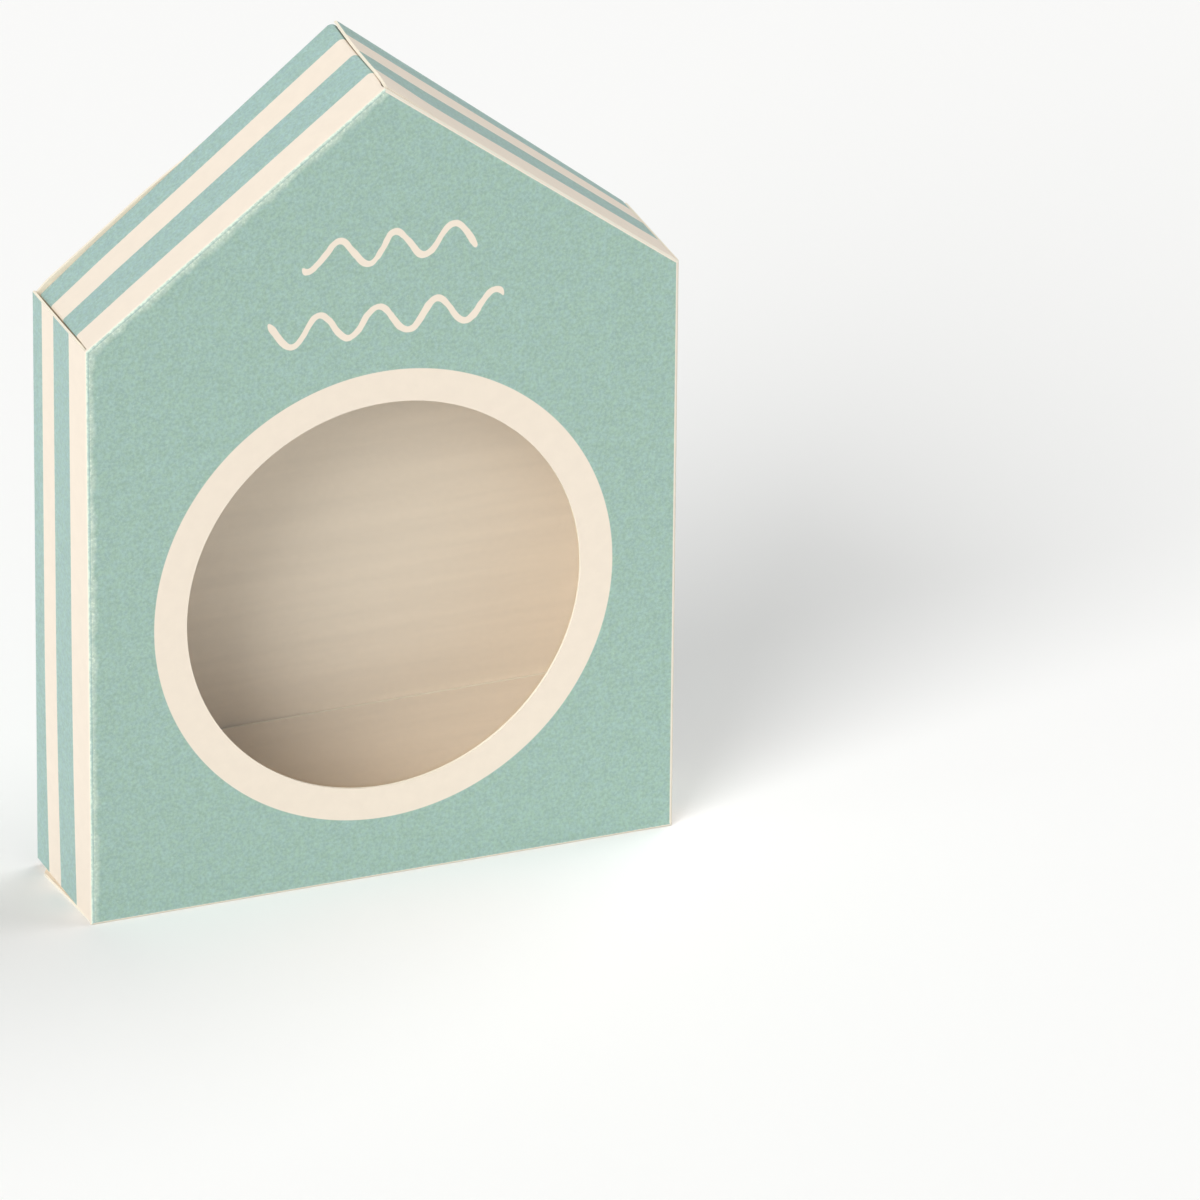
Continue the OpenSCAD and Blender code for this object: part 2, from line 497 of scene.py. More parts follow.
def gable_print(name):
    """Offset-printed boxboard of the gable: ink with an unprinted ring and two rows of drawn waves,
    worn at its folds. Sheet coordinates are X and Z in millimetres."""
    m, nt = new_material(name)
    size = sizes()
    where, x, z = sheet_coordinates(nt)
    dz = calc(nt, "SUBTRACT", z, WINDOW_Z / MM)
    ring_edge = (WINDOW_R + size.ring_width) / MM
    past_ring = calc(nt, "SUBTRACT", length(nt, x, dz), ring_edge)
    uncovered = remap(nt, past_ring, -DRAWN_EDGE, DRAWN_EDGE, 1.0, 0.0)
    for wave in WAVES:
        uncovered = calc(nt, "MAXIMUM", uncovered, wave_stroke(nt, where, x, z, *wave))
    worn = 0.0
    for i, (strength, spread, bare) in FRONT_WEAR.items():
        start = GABLE[i] / MM
        run = GABLE[(i + 1) % 5] / MM - start
        inward = np.array([-run[1], run[0]]) / np.linalg.norm(run)
        distance = calc(
            nt, "ADD", calc(nt, "MULTIPLY", x, inward[0]), calc(nt, "MULTIPLY", z, inward[1])
        )
        distance = calc(nt, "ADD", distance, -float(start @ inward) - FOLD_SKIP)
        mark = fold_wear(nt, where, distance, strength, spread)
        worn = mark if worn == 0.0 else calc(nt, "MAXIMUM", worn, mark)
        if bare:
            strip = remap(nt, distance, bare - STRIPE_EDGE, bare + STRIPE_EDGE, 1.0, 0.0)
            uncovered = calc(nt, "MAXIMUM", uncovered, strip)
    finish_board(nt, ink_and_liner(nt, where, colours().ink, uncovered, worn), where)
    return m


def wave_stroke(nt, where, x, z, middle, half, height, swell, wavelength, phase):
    """A hand-drawn wave: its distance field, with a swelling stroke that tapers at both ends."""
    turn = 2 * math.pi / wavelength
    wander = calc(nt, "MULTIPLY", calc(nt, "SUBTRACT", grain(nt, where, 9 * MM), 0.5), 2.2)
    angle = calc(nt, "ADD", calc(nt, "MULTIPLY", x, turn), phase)
    angle = calc(nt, "MULTIPLY_ADD", wander, 0.5, angle)
    sine = calc(nt, "MULTIPLY", calc(nt, "SINE", angle), swell)
    line = calc(nt, "MULTIPLY_ADD", wander, 0.3, sine)
    rise = calc(nt, "MULTIPLY", calc(nt, "COSINE", angle), swell * turn)
    above = calc(nt, "SUBTRACT", calc(nt, "SUBTRACT", z, height), line)
    above = calc(nt, "DIVIDE", above, length(nt, rise, 1.0))
    past = calc(nt, "SUBTRACT", calc(nt, "ABSOLUTE", calc(nt, "SUBTRACT", x, middle)), half)
    gap = length(nt, above, calc(nt, "MAXIMUM", past, 0.0))
    swelling = calc(nt, "ADD", grain(nt, where, 4 * MM), 0.55)
    pen = calc(nt, "MULTIPLY", swelling, 0.5 * sizes().stroke_width / MM)
    return remap(nt, calc(nt, "SUBTRACT", gap, pen), -DRAWN_EDGE, DRAWN_EDGE, 1.0, 0.0)


def bare_board(name):
    """Unprinted back of folding boxboard: warm cream, with long faint lighter and darker
    streaks."""
    m, nt = new_material(name)
    where = sheet_coordinates(nt)[0]
    streak = grain(nt, where, 2.5 * MM, detail=4, roughness=0.6, stretch=(0.05, 1, 1))
    cloud = grain(nt, where, 1.0 * MM, detail=3)
    streak = remap(nt, streak, 0.3, 0.7, -0.022, 0.022)
    shade = calc(nt, "ADD", calc(nt, "ADD", streak, remap(nt, cloud, 0.3, 0.7, -0.01, 0.01)), 1.0)
    colour = add(nt, "HueSaturation", Color=linear(colours().inside), Value=shade).outputs[0]
    finish_board(nt, colour, where, roughness=0.85, relief=0.1)
    return m


def cut_edge(name):
    """Die-cut edge of boxboard: pale pressed fibres in fine layers."""
    m, nt = new_material(name)
    where = sheet_coordinates(nt)[0]
    fibre = grain(nt, where, 0.18 * MM, detail=4, roughness=0.7)
    shade = calc(nt, "ADD", remap(nt, fibre, 0.25, 0.75, -0.06, 0.03), 1.0)
    colour = add(nt, "HueSaturation", Color=linear(colours().core), Value=shade).outputs[0]
    finish_board(nt, colour, where, roughness=0.9, relief=0.8)
    return m


def window_plastic(name):
    """Clear PET window film: see-through, with a soft wavy gloss."""
    m, nt = new_material(name)
    where = add(nt, "TexCoord").outputs["Object"]
    waves = grain(nt, where, 26 * MM, detail=1, roughness=0.3)
    bump = add(nt, "Bump", Strength=0.5, Distance=0.5 * MM, Height=waves)
    clear = add(nt, "BsdfTransparent", Color=(0.995, 0.995, 0.992, 1))
    gloss = add(nt, "BsdfGlossy", Roughness=0.06, Normal=bump.outputs[0])
    # A thin sheet reflects alike from both sides, so the index is turned over where a face is seen
    # from behind.
    behind = add(nt, "NewGeometry").outputs["Backfacing"]
    index = calc(nt, "POWER", 1.5, calc(nt, "MULTIPLY_ADD", behind, -2.0, 1.0))
    face = add(nt, "Fresnel", IOR=index, Normal=bump.outputs[0])
    both = add(nt, "MixShader", i0=face.outputs[0], i1=clear.outputs[0], i2=gloss.outputs[0])
    add(nt, "OutputMaterial", Surface=both.outputs[0])
    return m


def floor_paper(name):
    """Pale seamless studio paper."""
    m, nt = new_material(name)
    shader = add(nt, "BsdfPrincipled", Base_Color=linear((0.985, 0.985, 0.98)), Roughness=0.9)
    add(nt, "OutputMaterial", Surface=shader.outputs[0])
    return m


# Half the width over which ink fades out, in millimetres: at a stripe, and at a drawn shape.
STRIPE_EDGE, DRAWN_EDGE = 0.05, 0.06
# Distance from the eave at which a roof ends.
EAVE_CUT = 0.92 * MM
# How far the left roof sinks in, and its wall rises, at the back of the eave.
LEFT_SAG = 0.25 * MM
LEFT_WALL_RISE = 0.75 * MM
# Reach of the roof's lips and tuck flaps, with the radius of their corners.
LIP_REACH, LIP_CORNER = 5.5 * MM, 1.5 * MM
TUCK_REACH, TUCK_CORNER = 9.0 * MM, 3 * MM
TUCK_LEAN = math.radians(15)
# Distance from the eave and from the ridge at which a tuck flap ends.
TUCK_TO_EAVE, TUCK_TO_RIDGE = 3 * MM, 10.5 * MM
# How far the bottom panel's back lies to the left, and how much its left corner there is cut in.
BOTTOM_ASKEW, BOTTOM_NIP = 0.9 * MM, 1.6 * MM
# Distance from the sharp corner to where a fold's sheet coordinate is 0, in millimetres.
FOLD_SKIP = 0.15
# Distances from the fold at which cream and ink change on the walls and the roof, in millimetres.
WALL_STRIPES = (7.4, 14.3, 19.5)
ROOF_STRIPES = (5.75, 12.25, 17.75)
# Wear on the front panel's folds: strength, spread in millimetres, and a bare strip's width.
FRONT_WEAR = {
    BOTTOM_EDGE: (0.5, 0.4, 0.1),
    RIGHT_EDGE: (0.4, 0.5, 0.12),
    RIGHT_SLOPE: (0.6, 0.5, 0.1),
    LEFT_SLOPE: (1.0, 1.5, 0.0),
    LEFT_EDGE: (0.95, 1.35, 0.0),
}
# Rows of waves on the gable, in millimetres: middle, half length, height, swell, wavelength, phase.
WAVES = (
    (0.8, 14.2, 109.6, 2.3, 9.8, 0.4),
    (0.2, 19.4, 97.3, 2.3, 9.8, 2.3),
)
_made = {}


def material(name, maker, *settings):
    """The named material, made once."""
    if name not in _made:
        _made[name] = maker(name, *settings)
    return _made[name]


def sides(paint):
    """Materials of a board with that outer face."""
    return [paint, material("BoxboardInside", bare_board), material("BoxboardCutEdge", cut_edge)]


def bare_sides():
    return sides(material("BoxboardInside", bare_board))


# ---------------------------------------------------------------- pieces


def make_front_panel():
    """The gable front as rings of points from the window's edge out to the folds."""
    size = sizes()
    inset = size.fold_radius + size.fold_land
    corners = np.array([corner_inset(i, inset) for i in range(5)])
    share = np.linspace(0, 1, 44, endpoint=False)[:, None]
    runs = [a + (b - a) * share for a, b in zip(corners, np.roll(corners, -1, axis=0))]
    outline = np.concatenate(runs)
    centre = np.array([0.0, WINDOW_Z])
    toward = outline - centre
    angle = np.arctan2(toward[:, 1], toward[:, 0])
    hole = centre + WINDOW_R * np.stack([np.cos(angle), np.sin(angle)], axis=1)
    rings = [0.0, 0.002, 0.12, 0.3, 0.55, 0.8, 1.0]
    flat = np.stack([hole + (outline - hole) * r for r in rings], axis=1)[::-1]
    outer = settle(stack(flat[..., 0], -HALF_D, flat[..., 1]))
    paint = material("GablePrint", gable_print)
    piece = board("front_panel_board", outer, flat / MM, sides(paint), closed=True)
    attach(piece, "root")
    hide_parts("front_panel")


def fold_section(steps=10):
    """Inset, depth and sheet coordinate of a fold, from the front panel's side to the other."""
    size = sizes()
    r, land = size.fold_radius, size.fold_land
    turn = np.linspace(0, math.pi / 2, steps)
    inset = np.concatenate([[r + land], r - r * np.sin(turn), [0.0]])
    deep = np.concatenate([[0.0], r - r * np.cos(turn), [r + land]])
    half = r * math.pi / 4
    across = np.concatenate([[-half - land], r * turn - half, [half + land]])
    return inset, deep, across / MM


def make_front_fold(name, edge, paint):
    """The rounded fold along one edge of the front panel, mitred at the gable's corners."""
    inset, deep, across = fold_section()
    share = np.linspace(0, 1, 60)
    start = np.array([corner_inset(edge, e) for e in inset])
    end = np.array([corner_inset((edge + 1) % 5, e) for e in inset])
    flat = start[None] + (end - start)[None] * share[:, None, None]
    outer = settle(stack(flat[..., 0], -HALF_D + deep[None, :], flat[..., 1]))
    run = np.linalg.norm(GABLE[(edge + 1) % 5] - GABLE[edge]) / MM
    sheet = stack(across[None, :], share[:, None] * run)
    return board(name, outer[:, ::-1], sheet[:, ::-1], sides(paint))


def wall_foot(deep):
    """Height of a wall's lower edge, which is cut a little short towards the back."""
    return BOARD_T * 1.1 + 0.8 * MM * (np.asarray(deep) / DEPTH) ** 1.3


def wall_top(side, deep):
    """Height of a wall's upper edge. The left one rises a little towards the back."""
    rise = LEFT_WALL_RISE if side < 0 else 0.0
    return EAVE_Z + rise * (np.asarray(deep) / DEPTH) ** 1.5


def make_wall(side, name):
    """A side wall from the front fold to the back, with its cut top edge."""
    size = sizes()
    start = size.fold_radius + size.fold_land
    end = DEPTH - (size.fold_radius + size.fold_land if side < 0 else 0.4 * MM)
    y = np.linspace(start, end, 20)
    foot = wall_foot(y)[:, None]
    high = foot + (wall_top(side, y)[:, None] - foot) * np.linspace(0, 1, 40)[None, :]
    deep = np.broadcast_to(y[:, None], high.shape)
    outer = settle(stack(side * HALF_W, -HALF_D + deep, high))
    sheet = stack(deep / MM - FOLD_SKIP + print_drift(deep, high), high / MM)
    if side < 0:
        outer, sheet = outer[::-1], sheet[::-1]
    piece = board(name + "_board", outer, sheet, sides(wall_paint(side)))
    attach(piece, "root")
    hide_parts(name)


def print_drift(deep, high):
    """Drift of the printed stripes towards the front fold near the bottom, in millimetres."""
    low = np.clip(1 - high / (45 * MM), 0, 1)
    return 1.3 * low**2 * np.clip(deep / (7 * MM), 0, 1)


def wall_paint(side):
    if side < 0:
        return material("WallPrintLeft", striped_board, WALL_STRIPES, 0.8, 0.45, 0.0)
    return material("WallPrintRight", striped_board, WALL_STRIPES, 0.3, 0.45, -1.0)


def bottom_paint():
    return material("BottomPrint", striped_board, WALL_STRIPES, 0.4, 0.4, -0.3)


def roof_paint(side):
    if side < 0:
        return material("RoofPrintLeft", striped_board, ROOF_STRIPES, 1.0, 0.5, 0.0)
    return material("RoofPrintRight", striped_board, ROOF_STRIPES, 0.4, 0.5, -0.45)


def roof_lift(side, share, back):
    """Rise of a roof at a share of the way to the ridge, and of the way to the back."""
    size = sizes()
    back = np.clip(back, 0, 1)
    share = np.clip(share, 0, 1)
    if side < 0:
        return size.left_lift * back * share**1.2
    ridge = ease((share - 0.75) / 0.25)
    bump = (1 - (1 - back) ** 8) * (1 - back) ** 0.7
    lift = size.right_lift * share**0.9 * back ** (1.3 + 0.8 * ridge)
    return lift + size.right_bump * ridge * bump


def right_short(deep):
    """How far the right roof's edge stops short of the ridge: its front corner is nipped round."""
    nip = np.maximum(1 - np.asarray(deep) / (1.4 * MM), 0) ** 2
    return sizes().right_short * (1 - np.clip(deep / DEPTH, 0, 1)) + 0.35 * MM * nip


def ridge_reach(deep, grown):
    """How far past its ideal edge the left roof reaches at the ridge. Its roll passes just under
    the right roof's edge, and the gap between them widens to the back."""
    size = sizes()
    back = np.clip(deep / DEPTH, 0, 1)
    gap = (0.06 + 0.22 * back) * MM
    corner = roof_lift(1, 1.0, back) - BOARD_T
    short = right_short(deep)
    up = corner * math.cos(2 * PITCH) - short * math.sin(2 * PITCH)
    up = up - roof_lift(-1, 1.0, back) + size.ridge_roll
    inward = np.sqrt(np.maximum((size.ridge_roll + gap) ** 2 - up**2, 0))
    rolled = corner * math.sin(2 * PITCH) + short * math.cos(2 * PITCH) - inward + size.ridge_roll
    flat = 0.8 * short - BOARD_T * math.sin(2 * PITCH) - 0.08 * MM
    return flat + (rolled - flat) * grown


def roof_profile(start_roll, end_roll, start_cut, end_cut):
    """Distance along the slope and drop of a roof's cross-section, with the ends that roll over."""
    turn = np.linspace(0, math.pi / 2, 8)
    low, high = start_cut + start_roll, SLOPE - end_cut - end_roll
    along = [np.linspace(low, high, 48)]
    drop = [np.zeros(48)]
    if start_roll:
        along.insert(0, low - start_roll * np.cos(turn[:-1]))
        drop.insert(0, start_roll * (1 - np.sin(turn[:-1])))
    if end_roll:
        along.append(high + end_roll * np.sin(turn[1:]))
        drop.append(end_roll * (1 - np.cos(turn[1:])))
    return np.concatenate(along), np.concatenate(drop)


def roof_depths():
    """Depth and drop of a roof from its front fold to the roll at its back edge."""
    size = sizes()
    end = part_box("roof_panel_left")[1].y + HALF_D
    turn = np.linspace(0, math.pi / 2, 7)[1:]
    flat = np.linspace(size.fold_radius + size.fold_land, end - size.back_roll, 22)
    deep = np.concatenate([flat, end - size.back_roll + size.back_roll * np.sin(turn)])
    drop = np.concatenate([np.zeros(22), size.back_roll * (1 - np.cos(turn))])
    return deep, drop


def make_roof_panel(side):
    """Flat roof board that rolls over at the eave and the back, and on the left at the ridge."""
    size = sizes()
    if side < 0:
        along, drop = roof_profile(size.eave_roll, size.ridge_roll, EAVE_CUT, 0.0)
    else:
        along, drop = roof_profile(0.0, size.eave_roll, 0.0, EAVE_CUT)
    deep, back_drop = roof_depths()
    back = deep / DEPTH
    grown = ease(back / 0.22)
    share = along / SLOPE if side < 0 else 1 - along / SLOPE
    # Near the front the roof meets the wall's edge, and towards the back it falls in behind it.
    slack = 0.5 * MM * (1 - np.clip(back, 0, 1)) ** 1.5
    near_eave = ease(1 - share / 0.12)
    shift = near_eave[:, None] * slack[None, :] * (-1 if side < 0 else 1)
    if side < 0:
        shift = shift + ease((share - 0.85) / 0.13)[:, None] * ridge_reach(deep, grown)[None, :]
    else:
        shift = shift + ease((share - 0.9) / 0.1)[:, None] * right_short(deep)[None, :]
    height = -drop[:, None] * grown[None, :] - back_drop[None, :]
    if side < 0:
        height = height - LEFT_SAG * ease(1 - share / 0.22)[:, None] * np.sqrt(back)[None, :]
    height = height + roof_lift(side, share[:, None], back[None, :])
    outer = settle(on_slope(side, along[:, None] + shift, deep[None, :], height))
    printed = deep[None, :] / MM - FOLD_SKIP
    if side > 0:
        # The right roof's stripes run a little askew, and lie further back at the eave.
        printed = printed - (1.4 - 0.9 * share)[:, None] * np.clip(deep / (5 * MM), 0, 1)[None, :]
    sheet = stack(printed, along[:, None] / MM)
    word = ("left", "right")[side > 0]
    piece = board(f"roof_panel_{word}_board", outer, sheet, sides(roof_paint(side)))
    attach(piece, "roof_" + word)
    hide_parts("roof_panel_" + word)


def make_roof_lip(name, side, foot, facing):
    """A lip that hangs square under a roof board and faces up or down the slope."""
    size = sizes()
    low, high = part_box(name)
    start, end = low.y + HALF_D, high.y + HALF_D
    roll = size.ridge_roll if name == "ridge_lip" else size.eave_roll
    share = (foot / SLOPE) if side < 0 else 1 - foot / SLOPE
    along, down = rounded_flap(
        LIP_REACH, lambda v: start + 0.25 * v + 2 * MM, lambda v: end - 0.35 * v, LIP_CORNER
    )
    height = -roll - down + roof_lift(side, share, along / DEPTH)
    spot = np.full_like(along, foot)
    if name == "ridge_lip":
        spot = spot + ridge_reach(along, 1.0)
    outer = settle(on_slope(side, spot, along, height))
    if facing > 0:
        outer = outer[::-1]
        along, down = along[::-1], down[::-1]
    piece = board(name + "_board", outer, stack(along / MM, down / MM), bare_sides())
    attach(piece, "roof_" + ("left", "right")[side > 0])
    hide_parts(name)


def make_roof_tuck(side):
    """The flap that hangs from a roof's back edge and leans in from the back panel."""
    size = sizes()
    word = ("left", "right")[side > 0]
    start, end = TUCK_TO_EAVE, SLOPE - TUCK_TO_RIDGE
    if side > 0:
        start, end = TUCK_TO_RIDGE, SLOPE - TUCK_TO_EAVE
    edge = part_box("roof_panel_left")[1].y + HALF_D
    along, out = rounded_flap(
        TUCK_REACH, lambda v: start + 0.2 * v, lambda v: end - 0.2 * v, TUCK_CORNER
    )
    share = along / SLOPE if side < 0 else 1 - along / SLOPE
    height = -size.back_roll - out * math.cos(TUCK_LEAN) + roof_lift(side, share, 1.0)
    outer = settle(on_slope(side, along, edge - out * math.sin(TUCK_LEAN), height))
    piece = board(f"roof_tuck_{word}_board", outer, stack(along / MM, out / MM), bare_sides())
    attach(piece, "roof_" + word)
    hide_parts("roof_tuck_" + word)


def make_back_panel():
    """The back gable. Its sloping edges are cut, and the left one stands above the roof."""
    size = sizes()
    start = -HALF_W + size.fold_radius + size.fold_land
    end = HALF_W - BOARD_T - 0.5 * MM
    x = np.concatenate([
        start + (1 - np.cos(np.linspace(0, math.pi / 2, 9)[:-1])) * 2.5 * MM,
        np.linspace(start + 2.5 * MM, 0, 26),
        np.linspace(0, end - 1 * MM, 28)[1:],
        end - 1 * MM + np.sin(np.linspace(0, math.pi / 2, 6)[1:]) * 1 * MM,
    ])
    rise = (HALF_W - np.abs(x)) * math.tan(PITCH)
    left = x < 0
    share = 1 - np.abs(x) / HALF_W
    proud = size.back_stand * np.maximum(1 - share / 0.5, 0) - 0.8 * MM * ease((share - 0.35) / 0.3)
    under = (0.9 * roof_lift(1, share, 1) - 0.35 * MM) * (1 - 0.85 * ease((share - 0.8) / 0.2))
    stand = np.where(left, roof_lift(-1, share, 1) + proud, under)
    bite = np.where(left, 0.5 * MM * (1 - np.clip((x - start) / (3 * MM), 0, 1)) ** 2, 0.0)
    top = EAVE_Z + rise + stand / math.cos(PITCH) - bite
    foot = wall_foot(DEPTH) * (0.75 - 0.25 * x / HALF_W)
    high = foot[:, None] + (top - foot)[:, None] * np.linspace(0, 1, 40)[None, :]
    outer = settle(stack(x[:, None], HALF_D, high))
    sheet = stack(x[:, None] / MM, high / MM)
    paint = material("PlainPrint", plain_print)
    piece = board("back_panel_board", outer[::-1], sheet[::-1], sides(paint))
    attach(piece, "root")
    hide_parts("back_panel")


def make_back_fold():
    """The rounded fold between the left wall and the back panel."""
    size = sizes()
    r, land = size.fold_radius, size.fold_land
    turn = np.linspace(0, math.pi / 2, 10)
    x = -HALF_W + np.concatenate([[0.0], r - r * np.cos(turn), [r + land]])
    y = HALF_D - np.concatenate([[r + land], r - r * np.sin(turn), [0.0]])
    across = DEPTH - np.concatenate([[r + land], r - r * turn, [r - r * math.pi / 2 - land]])
    foot = wall_foot(np.minimum(across, DEPTH))[:, None]
    high = foot + (wall_top(-1, DEPTH) - foot) * np.linspace(0, 1, 40)[None, :]
    outer = settle(stack(x[:, None], y[:, None], high))
    sheet = stack(across[:, None] / MM - FOLD_SKIP + print_drift(across[:, None], high), high / MM)
    piece = board("fold_back_left", outer[::-1], sheet[::-1], sides(wall_paint(-1)))
    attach(piece, "root")


def make_seam_flap():
    """The flap folded forward from the back panel and glued inside the right wall."""
    low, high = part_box("seam_flap")
    along, out = rounded_flap(
        high.y - low.y, lambda v: low.z + 0.4 * v, lambda v: high.z - 0.4 * v, 2 * MM
    )
    outer = settle(stack(high.x - 0.02 * MM, high.y - out, along))
    piece = board("seam_flap_board", outer[::-1], stack(along, out)[::-1] / MM, bare_sides())
    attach(piece, "root")
    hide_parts("seam_flap")


def make_bottom():
    """The bottom panel, its tuck flap behind the back panel, and the dust flaps on top of it."""
    size = sizes()
    low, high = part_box("bottom_panel")
    y = np.linspace(-HALF_D + size.fold_radius + size.fold_land, high.y - size.back_roll, 16)
    turn = np.linspace(0, math.pi / 2, 7)[1:]
    y_all = np.concatenate([y, high.y - size.back_roll + size.back_roll * np.sin(turn)])
    rise = np.concatenate([np.zeros(16), size.back_roll * (1 - np.cos(turn))])
    # The panel lies a little askew: its edge shows under the left wall.
    askew = -BOTTOM_ASKEW * (y_all + HALF_D)[None, :] / DEPTH
    from_right = np.linspace(1, 0, 40)[:, None]
    nip = BOTTOM_NIP * ease((y_all - HALF_D + 3.2 * MM) / (0.7 * MM))[None, :]
    x = np.linspace(low.x + 0.15 * MM, high.x - 0.15 * MM, 40)[:, None] + askew + from_right * nip
    outer = settle(stack(x, y_all[None, :], rise[None, :]))
    sheet = stack((y_all[None, :] + HALF_D) / MM - FOLD_SKIP, x / MM)
    piece = board("bottom_panel_board", outer[::-1], sheet[::-1], sides(bottom_paint()))
    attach(piece, "root")
    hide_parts("bottom_panel")

    low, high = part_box("bottom_tuck_flap")
    along, out = rounded_flap(
        high.z - low.z, lambda v: low.x + 0.1 * v, lambda v: high.x - 0.1 * v, 4 * MM, columns=40
    )
    # The flap's top leans in from the back panel at the left, and lies against it at the right.
    lean = (0.45 - 0.9 * (along - low.x) / (high.x - low.x)) * MM * out / (high.z - low.z)
    outer = settle(stack(along, high.y - np.maximum(lean, -0.12 * MM), low.z + out * 1.06))
    piece = board("bottom_tuck_flap_board", outer[::-1], stack(along, out)[::-1] / MM, bare_sides())
    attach(piece, "root")
    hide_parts("bottom_tuck_flap")

    for side, word in ((-1, "left"), (1, "right")):
        low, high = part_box("dust_flap_" + word)
        root = side * max(abs(low.x), abs(high.x))
        along, out = rounded_flap(
            high.x - low.x, lambda v: low.y + 0.05 * v, lambda v: high.y - 0.15 * v, 5 * MM
        )
        outer = settle(stack(root - side * out, along, high.z + 0.02 * out))
        sheet = stack(along, out) / MM
        if side > 0:
            outer, sheet = outer[::-1], sheet[::-1]
        piece = board("dust_flap_" + word + "_board", outer[::-1], sheet[::-1], bare_sides())
        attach(piece, "root")
        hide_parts("dust_flap_" + word)


def make_film():
    """The window film: a thin sheet with rounded corners, a little slack."""
    corner = 3 * MM
    reach = film_high.z - film_low.z
    along, out = rounded_flap(
        reach, lambda v: film_low.x + 0 * v, lambda v: film_high.x + 0 * v, corner,
        rows=40, columns=40,
    )
    foot = np.maximum(corner - out, 0)
    bite = corner - np.sqrt(np.maximum(corner**2 - foot**2, 0))
    middle = (film_low.x + film_high.x) / 2
    along = middle + (along - middle) * (1 - bite / (film_high.x - film_low.x) * 2)
    across = np.hypot(along, film_low.z + out - WINDOW_Z) / WINDOW_R
    slack = 0.25 * MM * (1 - ease(across))
    outer = settle(stack(along, FILM_Y + slack, film_low.z + out))
    clear = material("ClearPetFilm", window_plastic)
    piece = board(
        "window_film_sheet", outer, stack(along, out) / MM, [clear] * 3,
        thickness=film_high.y - film_low.y,
    )
    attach(piece, "root")
    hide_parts("window_film")


# ---------------------------------------------------------------- operators


class CARTON_OT_front(bpy.types.Operator):
    """Build the gable front with its round window"""

    bl_idname = "carton.front"
    bl_label = "Front Panel"

    def execute(self, context):
        make_front_panel()
        return {"FINISHED"}


class CARTON_OT_folds(bpy.types.Operator):
    """Build the rounded, worn folds between the panels"""

    bl_idname = "carton.folds"
    bl_label = "Folds"

    def execute(self, context):
        for name, edge, paint in (
            ("fold_front_left", LEFT_EDGE, wall_paint(-1)),
            ("fold_front_right", RIGHT_EDGE, wall_paint(1)),
            ("fold_front_bottom", BOTTOM_EDGE, bottom_paint()),
        ):
            piece = make_front_fold(name, edge, paint)
            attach(piece, "root")
        for name, edge, side, word, out in (
            ("fold_roof_left", LEFT_SLOPE, -1, "left", LEFT_OUT),
            ("fold_roof_right", RIGHT_SLOPE, 1, "right", RIGHT_OUT),
        ):
            piece = make_front_fold(name, edge, roof_paint(side))
            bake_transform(piece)
        make_back_fold()
        return {"FINISHED"}


class CARTON_OT_walls(bpy.types.Operator):
    """Build the striped side walls"""

    bl_idname = "carton.walls"
    bl_label = "Side Walls"

    def execute(self, context):
        make_wall(-1, "left_wall")
        make_wall(1, "right_wall")
        return {"FINISHED"}


class CARTON_OT_back(bpy.types.Operator):
    """Build the back panel and the glued seam flap"""

    bl_idname = "carton.back"
    bl_label = "Back Panel"

    def execute(self, context):
        make_back_panel()
        make_seam_flap()
        return {"FINISHED"}


class CARTON_OT_bottom(bpy.types.Operator):
    """Build the bottom panel, its tuck flap and the dust flaps"""

    bl_idname = "carton.bottom"
    bl_label = "Bottom"

    def execute(self, context):
        make_bottom()
        return {"FINISHED"}


class CARTON_OT_roof(bpy.types.Operator):
    """Build both roof panels with their lips and tuck flaps"""

    bl_idname = "carton.roof"
    bl_label = "Roof"

    def execute(self, context):
        for side in (-1, 1):
            make_roof_panel(side)
            make_roof_tuck(side)
        make_roof_lip("ridge_lip", -1, SLOPE, 1)
        make_roof_lip("eave_lip_left", -1, EAVE_CUT, -1)
        make_roof_lip("eave_lip_right", 1, SLOPE - EAVE_CUT, 1)
        return {"FINISHED"}


class CARTON_OT_film(bpy.types.Operator):
    """Build the clear window film"""

    bl_idname = "carton.film"
    bl_label = "Window Film"

    def execute(self, context):
        make_film()
        return {"FINISHED"}


class CARTON_OT_stage(bpy.types.Operator):
    """Set up the pale floor, the soft lights and the camera"""

    bl_idname = "carton.stage"
    bl_label = "Stage"

    def execute(self, context):
        make_floor()
        make_lights()
        make_camera()
        return {"FINISHED"}


def make_floor():
    half = 3.0
    mesh = bpy.data.meshes.new("floor")
    mesh.from_pydata(
        [(-half, -half, 0), (half, -half, 0), (half, half, 0), (-half, half, 0)], [], [(0, 1, 2, 3)]
    )
    mesh.materials.append(material("SeamlessPaper", floor_paper))
    floor = bpy.data.objects.new("floor", mesh)
    bpy.context.scene.collection.objects.link(floor)


def far_softbox(name, direction, strength, width):
    """A softbox far enough away to light the floor evenly. Its width is in degrees."""
    light = bpy.data.lights.new(name, "SUN")
    light.energy = strength
    light.angle = math.radians(width)
    lamp = bpy.data.objects.new(name, light)
    away = Vector(direction).normalized()
    lamp.location = away
    lamp.rotation_mode = "QUATERNION"
    lamp.rotation_quaternion = away.to_track_quat("Z", "Y")
    bpy.context.scene.collection.objects.link(lamp)


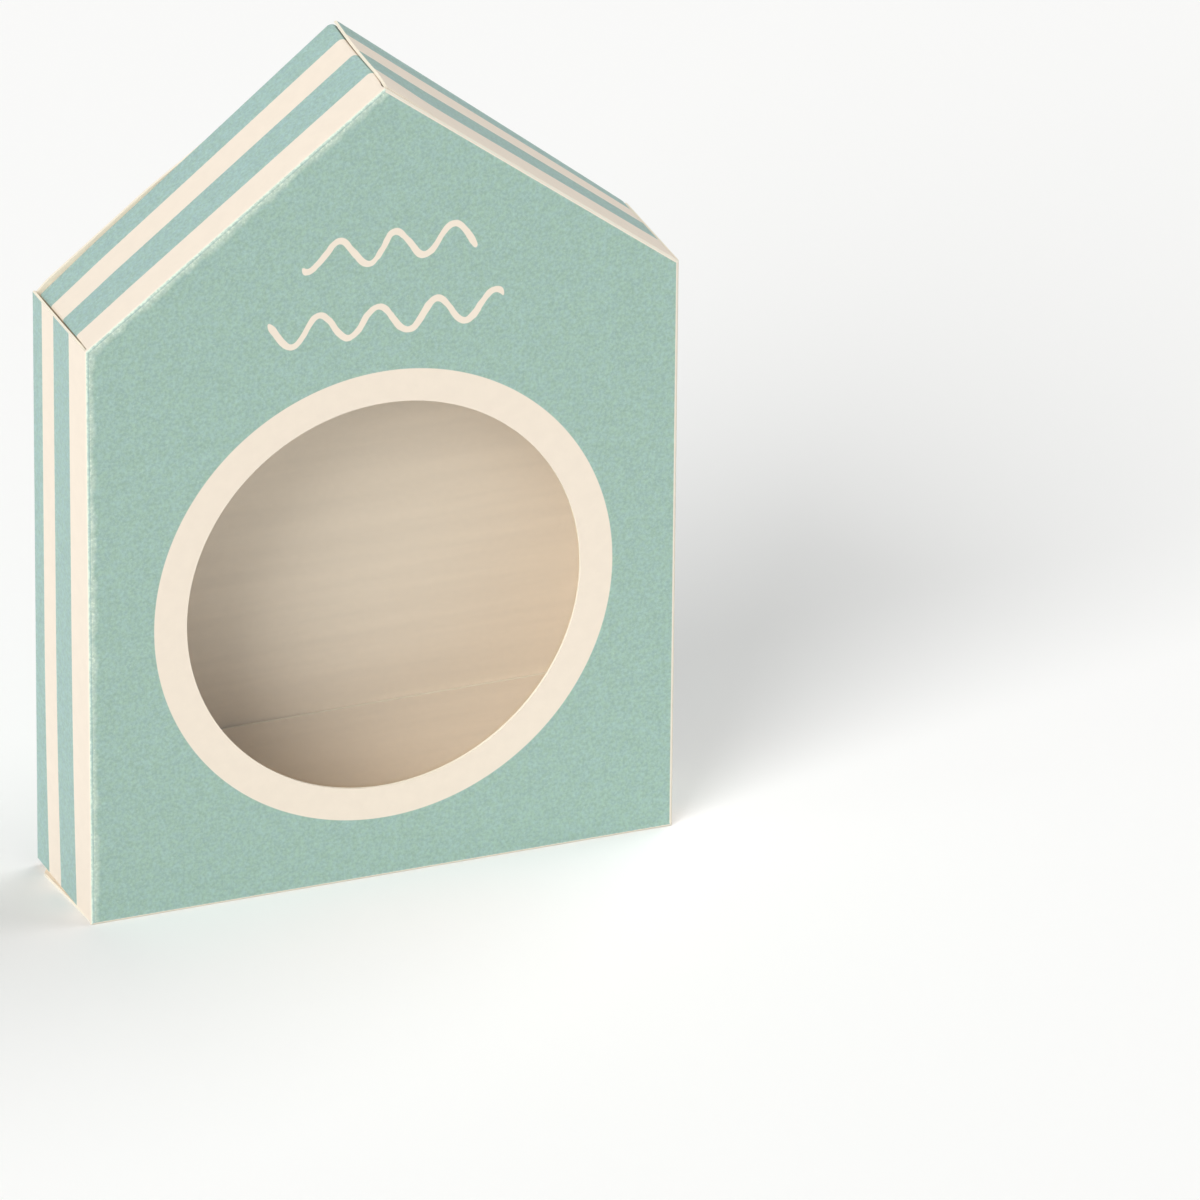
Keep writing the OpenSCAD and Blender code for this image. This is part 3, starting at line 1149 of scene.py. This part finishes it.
def make_lights():
    """A key from the front left, a weak fill beside it, a large top light, and a pale room."""
    far_softbox("key", (-0.9, -0.66, 0.62), strength=2.32, width=37)
    far_softbox("fill", (-0.45, -1, 0.5), strength=0.14, width=37)
    far_softbox("top", (0.55, 0.1, 0.85), strength=1.53, width=50)
    world = bpy.data.worlds.new("studio")
    world.use_nodes = True
    nt = world.node_tree
    nt.nodes.clear()
    # The room looks nearly as pale as the floor, but lights the carton less than the softboxes do.
    seen = add(nt, "LightPath").outputs["Is Camera Ray"]
    strength = calc(nt, "MULTIPLY_ADD", seen, 0.65, 0.21)
    room = add(nt, "Background", Color=(1, 1, 1, 1), Strength=strength)
    add(nt, "OutputWorld", Surface=room.outputs[0])
    bpy.context.scene.world = world
    bpy.context.scene.view_settings.view_transform = "Standard"


def make_camera():
    """A long lens from the front left, a little above the carton."""
    azimuth, elevation, roll = (math.radians(d) for d in (-22.475, 24.917, 0.543))
    distance = 1.91945
    aim = Vector((36.937 * MM, -HALF_D, 42.484 * MM))
    back = Vector((
        math.sin(azimuth) * math.cos(elevation),
        -math.cos(azimuth) * math.cos(elevation),
        math.sin(elevation),
    ))
    right = Vector((math.cos(azimuth), math.sin(azimuth), 0))
    up = back.cross(right)
    across = right * math.cos(roll) + up * math.sin(roll)
    upward = up * math.cos(roll) - right * math.sin(roll)
    data = bpy.data.cameras.new("camera")
    data.lens = 360
    data.sensor_width = 36
    data.clip_start, data.clip_end = 0.1, 20
    camera = bpy.data.objects.new("camera", data)
    camera.location = aim + back * distance
    camera.rotation_mode = "QUATERNION"
    camera.rotation_quaternion = Matrix((across, upward, back)).transposed().to_quaternion()
    bpy.context.scene.collection.objects.link(camera)
    bpy.context.scene.camera = camera


class CARTON_PT_panel(bpy.types.Panel):
    """Lists the carton's operators and settings in the sidebar"""

    bl_idname = "CARTON_PT_panel"
    bl_label = "Beach Hut Carton"
    bl_space_type = "VIEW_3D"
    bl_region_type = "UI"
    bl_category = "Carton"

    def draw(self, context):
        for operator in OPERATORS:
            self.layout.operator(operator.bl_idname)
        for group in (context.scene.carton_sizes, context.scene.carton_colours):
            for name in group.bl_rna.properties.keys():
                if name not in ("rna_type", "name"):
                    self.layout.prop(group, name)


OPERATORS = (
    CARTON_OT_front,
    CARTON_OT_folds,
    CARTON_OT_walls,
    CARTON_OT_back,
    CARTON_OT_bottom,
    CARTON_OT_roof,
    CARTON_OT_film,
    CARTON_OT_stage,
)
CLASSES = (CartonSizes, CartonColours, *OPERATORS, CARTON_PT_panel)


def register():
    for cls in CLASSES:
        bpy.utils.register_class(cls)
    bpy.types.Scene.carton_sizes = PointerProperty(type=CartonSizes)
    bpy.types.Scene.carton_colours = PointerProperty(type=CartonColours)


def unregister():
    del bpy.types.Scene.carton_colours
    del bpy.types.Scene.carton_sizes
    for cls in reversed(CLASSES):
        bpy.utils.unregister_class(cls)


def main():
    register()
    for operator in OPERATORS:
        group, name = operator.bl_idname.split(".")
        getattr(getattr(bpy.ops, group), name)()


if __name__ == "__main__":
    main()
